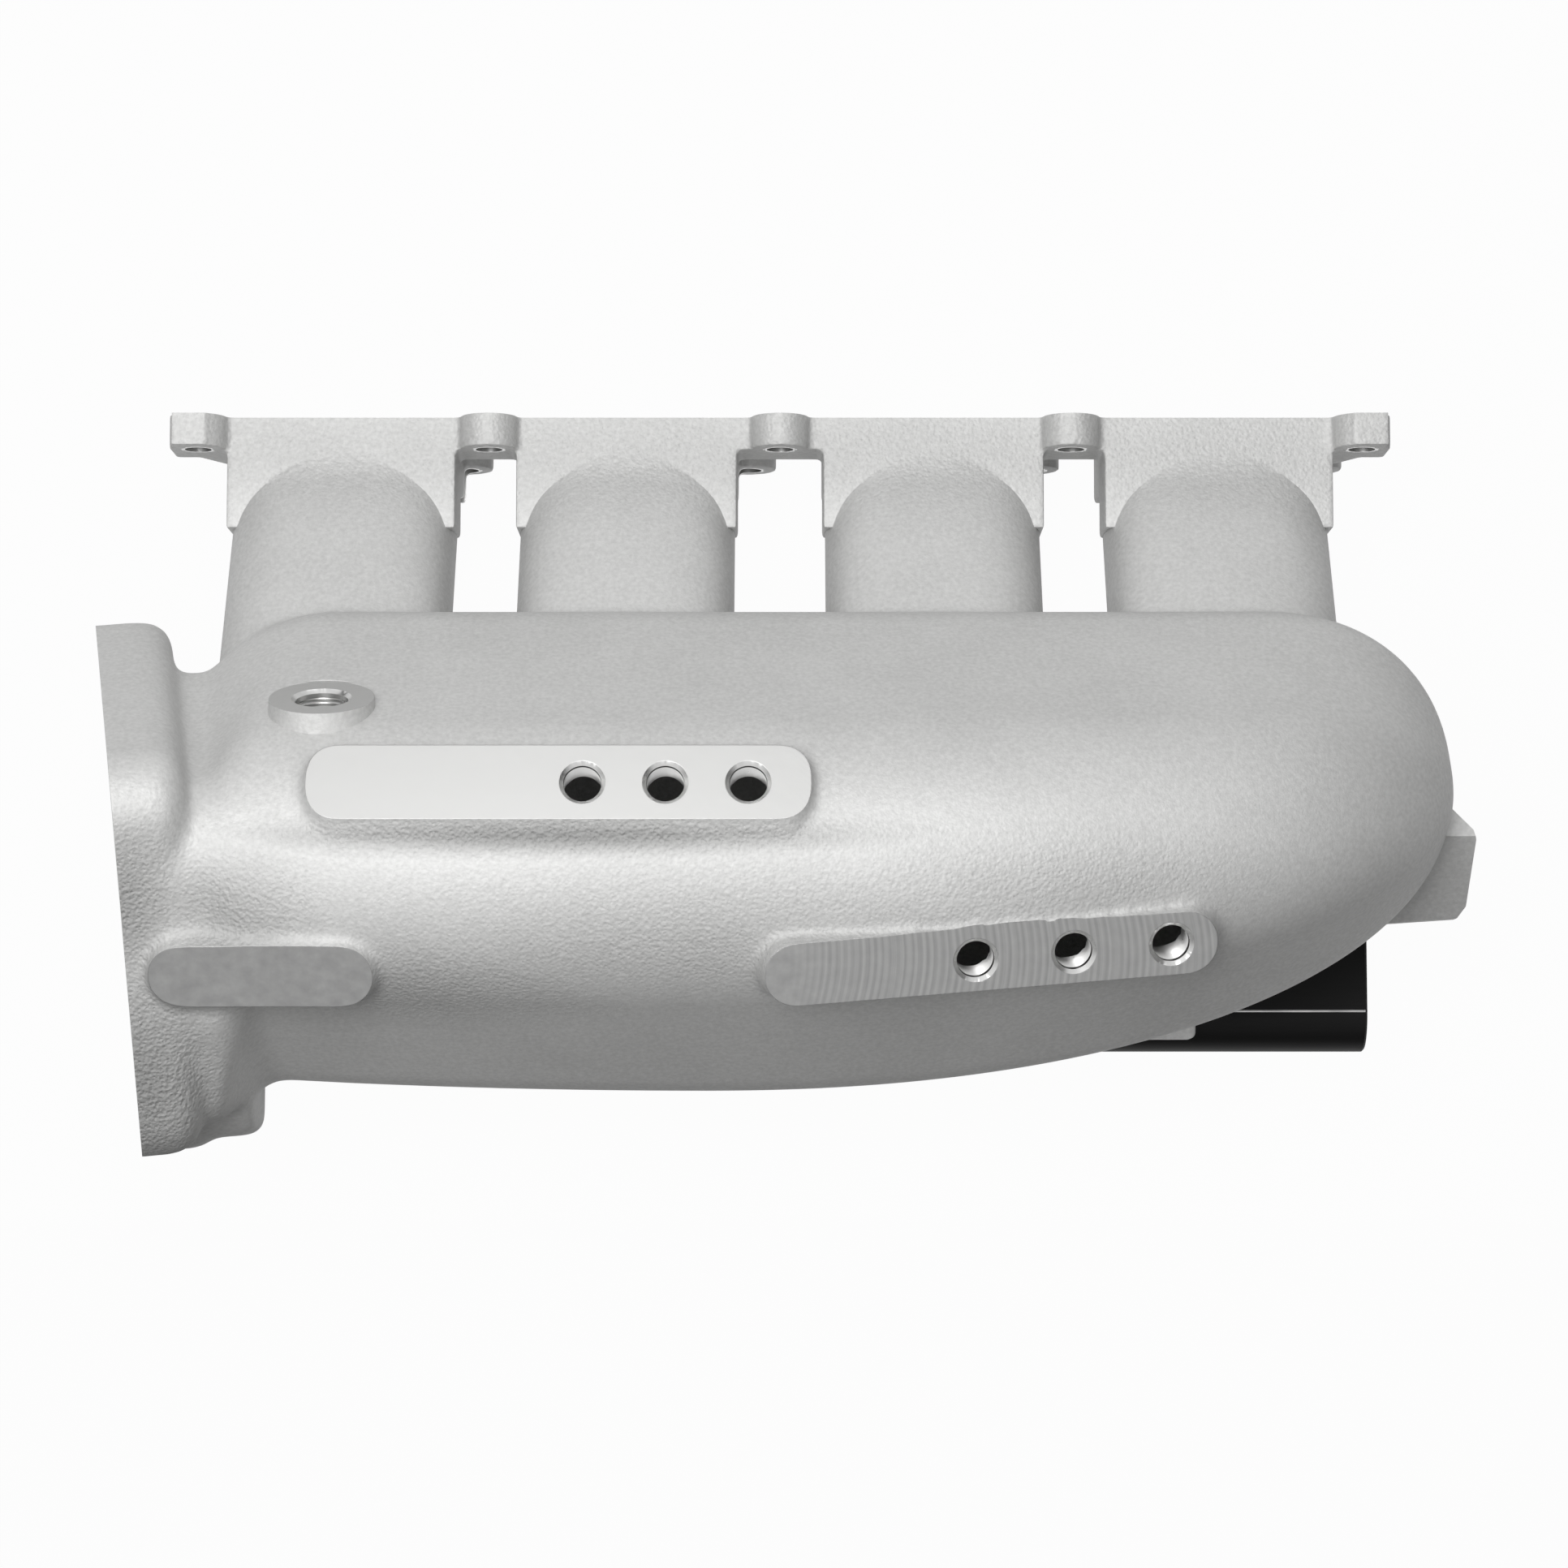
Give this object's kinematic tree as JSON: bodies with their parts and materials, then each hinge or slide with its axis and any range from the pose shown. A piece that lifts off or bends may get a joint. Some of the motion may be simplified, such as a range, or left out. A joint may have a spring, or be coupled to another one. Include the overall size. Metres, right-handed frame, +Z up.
{
  "type": "intake manifold",
  "caption": "Cast aluminium intake manifold: head flange, round-backed plenum fed by climbing runners, throttle flange, tapped pads and a black fuel rail with injectors beneath.",
  "frame": {"origin": "middle of the head flange's mating face, at the height of the port centres", "axes": "+X along the engine away from the throttle flange, +Y out of the mating face towards the cylinder head, +Z up"},
  "size_m": [0.4345, 0.239, 0.1951],
  "materials": {
    "cast_aluminium": "as sand cast, bead blasted, matt",
    "machined_aluminium": "milled, with fine tool marks",
    "black_anodised": "black anodised aluminium, satin",
    "steel": "zinc plated, satin",
    "rubber": "matt nitrile",
    "black_plastic": "moulded, fine grain"
  },
  "bodies": {
    "root": {"head_flange": "cast_aluminium", "runner_1": "cast_aluminium", "runner_2": "cast_aluminium", "runner_3": "cast_aluminium", "runner_4": "cast_aluminium", "plenum_shell": "cast_aluminium", "throttle_neck": "cast_aluminium", "throttle_flange": "cast_aluminium", "vacuum_pad": "machined_aluminium", "sensor_pad": "machined_aluminium", "blank_pad": "cast_aluminium", "sensor_boss": "machined_aluminium", "bracket_boss": "cast_aluminium", "neck_lug": "cast_aluminium", "rail_leg_left": "cast_aluminium", "rail_leg_right": "cast_aluminium", "fuel_rail": "black_anodised", "rail_inlet_fitting": "steel", "rail_inlet_seal": "rubber", "rail_end_plug": "steel", "rail_bolts": "steel", "rail_washers": "steel", "injector_1": "steel", "injector_2": "steel", "injector_3": "steel", "injector_4": "steel", "injector_connectors": "black_plastic", "injector_upper_seals": "rubber", "injector_lower_seals": "rubber"}
  },
  "joints": []
}
